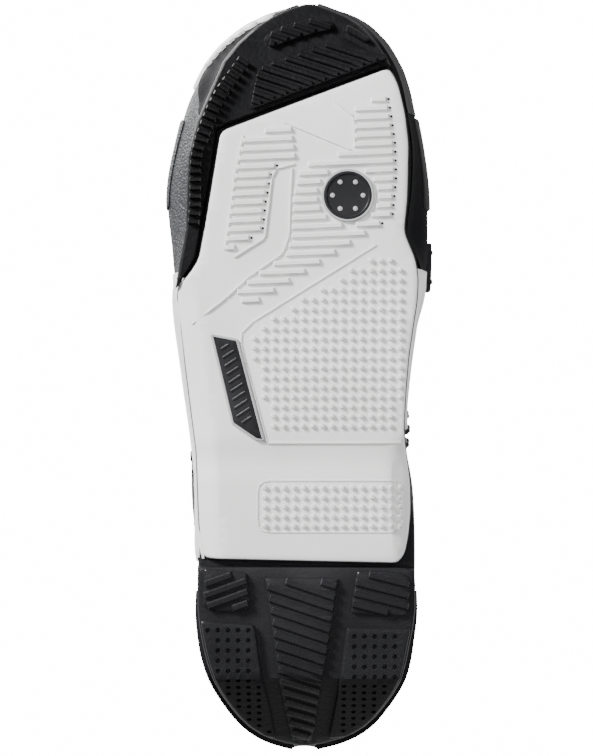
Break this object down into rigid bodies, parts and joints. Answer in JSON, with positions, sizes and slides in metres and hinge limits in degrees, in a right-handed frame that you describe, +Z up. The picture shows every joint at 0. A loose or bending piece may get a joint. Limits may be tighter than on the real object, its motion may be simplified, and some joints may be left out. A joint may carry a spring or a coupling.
{
  "type": "off-road riding boot",
  "caption": "Right off-road riding boot with a grip sole, hinged ankle, opening shin plate and lever buckles, modelled as an assembly.",
  "frame": {"origin": "on the flat contact face of the sole, midway between toe and heel, on the boot's middle line", "axes": "+Z up the shaft, -Y to the toe, +Y to the heel, +X to the inner (medial) side of a right boot"},
  "size_m": [0.1214, 0.3205, 0.375],
  "materials": {
    "black_rubber": "satin moulded rubber",
    "white_rubber": "satin moulded rubber",
    "black_tpu": "fine textured moulded plastic",
    "grey_microfibre": "pebble grained coated microfibre",
    "white_tpu": "smooth moulded plastic",
    "steel": "brushed",
    "aluminium": "bead blasted",
    "fibreboard": "pressed board",
    "foam": "brushed knit over foam",
    "lining": "mesh lining",
    "webbing": "woven webbing",
    "badge_ring": "smooth inlay"
  },
  "bodies": {
    "foot": {"peg_grip_insert": "white_rubber", "sole_badge_round": "badge_ring", "sole_badge_bar": "badge_ring", "outsole_toe": "black_rubber", "outsole_heel": "black_rubber", "sole_chassis": "black_tpu", "steel_shank": "steel", "insole_board": "fibreboard", "footbed": "foam", "vamp": "grey_microfibre", "quarter_lateral": "grey_microfibre", "quarter_medial": "grey_microfibre", "foot_lining": "lining", "toe_cap": "black_tpu", "toe_side_panel": "white_tpu", "shift_guard": "black_tpu", "lateral_guard": "grey_microfibre", "heel_cup": "black_tpu", "front_bellows": "black_rubber", "rear_bellows": "black_rubber", "pivot_bolt_lateral": "steel", "pivot_bolt_medial": "steel", "catch_instep": "aluminium", "strap_anchor_instep": "steel"},
    "shaft": {"cuff": "black_tpu", "shin_hinge_strip": "black_rubber", "inner_boot": "lining", "ankle_lining": "lining", "top_collar": "foam", "burn_guard": "black_rubber", "calf_guard": "grey_microfibre", "pull_loop": "webbing", "catch_lower": "aluminium", "catch_middle": "aluminium", "catch_upper": "aluminium"},
    "shin_flap": {"shin_plate": "black_tpu", "strap_anchor_lower": "steel", "strap_anchor_middle": "steel", "strap_anchor_upper": "steel"},
    "strap_instep": {"strap_instep": "black_tpu", "lever_pin_instep": "steel"},
    "lever_instep": {"lever_instep": "aluminium"},
    "strap_lower": {"strap_lower": "black_tpu", "lever_pin_lower": "steel"},
    "lever_lower": {"lever_lower": "aluminium"},
    "strap_middle": {"strap_middle": "black_tpu", "lever_pin_middle": "steel"},
    "lever_middle": {"lever_middle": "aluminium"},
    "strap_upper": {"strap_upper": "black_tpu", "lever_pin_upper": "steel"},
    "lever_upper": {"lever_upper": "aluminium"}
  },
  "joints": [
    {"name": "ankle_flex", "type": "hinge", "parent": "foot", "child": "shaft", "pos_m": [0.004, 0.062, 0.118], "axis": [1, 0, 0], "range_deg": [-6, 13], "deforming": ["front_bellows", "rear_bellows", "ankle_lining"]},
    {"name": "shin_plate_open", "type": "hinge", "parent": "shaft", "child": "shin_flap", "pos_m": [0.05583, 0.03001, 0.257], "axis": [0.042, -0.1114, 0.9929], "range_deg": [0, 26]},
    {"name": "strap_instep_swing", "type": "hinge", "parent": "foot", "child": "strap_instep", "pos_m": [0.05754, -0.04924, 0.0614], "axis": [0.0017, 0.9995, -0.0324], "range_deg": [0, 16]},
    {"name": "lever_instep_open", "type": "hinge", "parent": "strap_instep", "child": "lever_instep", "pos_m": [-0.03262, -0.05154, 0.10347], "axis": [-0.1649, 0.9309, 0.3259], "range_deg": [0, 60]},
    {"name": "strap_lower_swing", "type": "hinge", "parent": "shin_flap", "child": "strap_lower", "pos_m": [0.05373, 0.029, 0.192], "axis": [0.0485, -0.1194, 0.9917], "range_deg": [0, 25]},
    {"name": "lever_lower_open", "type": "hinge", "parent": "strap_lower", "child": "lever_lower", "pos_m": [-0.0496, 0.04641, 0.192], "axis": [-0.0526, -0.0989, 0.9937], "range_deg": [0, 100]},
    {"name": "strap_middle_swing", "type": "hinge", "parent": "shin_flap", "child": "strap_middle", "pos_m": [0.05691, 0.02311, 0.248], "axis": [0.0499, -0.1113, 0.9925], "range_deg": [0, 25]},
    {"name": "lever_middle_open", "type": "hinge", "parent": "strap_middle", "child": "lever_middle", "pos_m": [-0.0529, 0.0413, 0.248], "axis": [-0.0519, -0.0932, 0.9943], "range_deg": [0, 100]},
    {"name": "strap_upper_swing", "type": "hinge", "parent": "shin_flap", "child": "strap_upper", "pos_m": [0.05904, 0.01622, 0.304], "axis": [0.0262, -0.1284, 0.9914], "range_deg": [0, 25]},
    {"name": "lever_upper_open", "type": "hinge", "parent": "strap_upper", "child": "lever_upper", "pos_m": [-0.0551, 0.03495, 0.304], "axis": [-0.0292, -0.119, 0.9925], "range_deg": [0, 100]}
  ]
}
